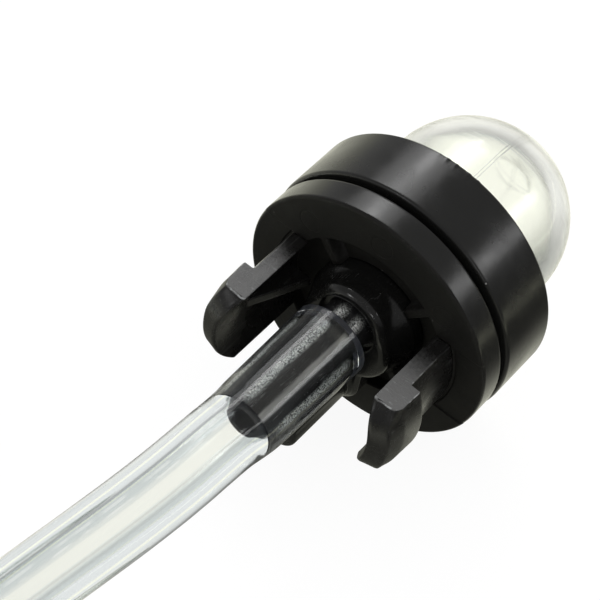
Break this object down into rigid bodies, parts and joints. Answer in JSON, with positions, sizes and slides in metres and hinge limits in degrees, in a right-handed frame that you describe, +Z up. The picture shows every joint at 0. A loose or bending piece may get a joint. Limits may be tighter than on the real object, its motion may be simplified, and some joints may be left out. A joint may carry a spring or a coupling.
{
  "type": "siphon bulb pump",
  "caption": "Snap-in siphon pump: a clear squeeze bulb held by a ring on a base with a hose nipple, an inlet nipple, two snap legs and a clear hose.",
  "frame": {"origin": "on the pump's axis, in the plane of the base's back face that seats on a panel", "axes": "+Y along the pump's axis from the back face to the bulb, +Z up with the pump lying on its side, hose port above the axis and inlet port below it, legs on +X and -X"},
  "size_m": [0.1076, 0.1241, 0.0284],
  "materials": {
    "black_nylon": "moulded black plastic, scuffed semi-gloss",
    "ring_nylon": "moulded black plastic, soft satin",
    "nipple_nylon": "black plastic with a rough shine",
    "bulb_clear": "clear soft plastic with a faint yellow-green tint",
    "hose_clear": "clear flexible tube",
    "plate_acetal": "moulded black plastic",
    "valve_rubber": "dark grey soft rubber",
    "tie_plastic": "thin black band"
  },
  "bodies": {
    "pump_body": {"base_body": "black_nylon", "port_tower": "black_nylon", "hose_nipple": "nipple_nylon", "inlet_nipple": "black_nylon", "retaining_ring": "ring_nylon", "bulb_flange": "bulb_clear", "bulb_wall": "bulb_clear", "valve_plate": "plate_acetal", "valve_stem": "valve_rubber", "hose_sleeve": "hose_clear", "hose_run": "hose_clear", "hose_coil": "hose_clear", "hose_tail": "hose_clear", "coil_tie": "tie_plastic"},
    "crown": {"bulb_crown": "bulb_clear"},
    "umbrella": {"umbrella_skirt": "valve_rubber"},
    "lip_upper": {"outlet_lip_upper": "valve_rubber"},
    "lip_lower": {"outlet_lip_lower": "valve_rubber"},
    "leg_right": {"snap_leg_right": "black_nylon"},
    "leg_left": {"snap_leg_left": "black_nylon"}
  },
  "joints": [
    {"name": "bulb_press", "type": "slide", "parent": "pump_body", "child": "crown", "axis": [0, -1, 0], "range_m": [0, 0.008], "stiffness_N_per_m": 1500, "deforming": ["bulb_wall"]},
    {"name": "umbrella_lift", "type": "slide", "parent": "pump_body", "child": "umbrella", "axis": [0, 1, 0], "range_m": [0, 0.0007], "stiffness_N_per_m": 300},
    {"name": "lip_upper_open", "type": "hinge", "parent": "pump_body", "child": "lip_upper", "pos_m": [0, 0.00375, 0.0019], "axis": [-1, 0, 0], "range_deg": [0, 8], "stiffness_Nm_per_rad": 0.0001},
    {"name": "lip_lower_open", "type": "hinge", "parent": "pump_body", "child": "lip_lower", "pos_m": [0, 0.00375, -0.0019], "axis": [-1, 0, 0], "range_deg": [-8, 0]},
    {"name": "leg_right_flex", "type": "hinge", "parent": "pump_body", "child": "leg_right", "pos_m": [0.0084, 0, 0], "axis": [0, 0, -1], "range_deg": [0, 6.5], "stiffness_Nm_per_rad": 1.6},
    {"name": "leg_left_flex", "type": "hinge", "parent": "pump_body", "child": "leg_left", "pos_m": [-0.0084, 0, 0], "axis": [0, 0, 1], "range_deg": [0, 6.5], "stiffness_Nm_per_rad": 1.6}
  ],
  "couplings": [
    {"joint": "lip_lower_open", "follows": "lip_upper_open", "ratio": -1}
  ]
}
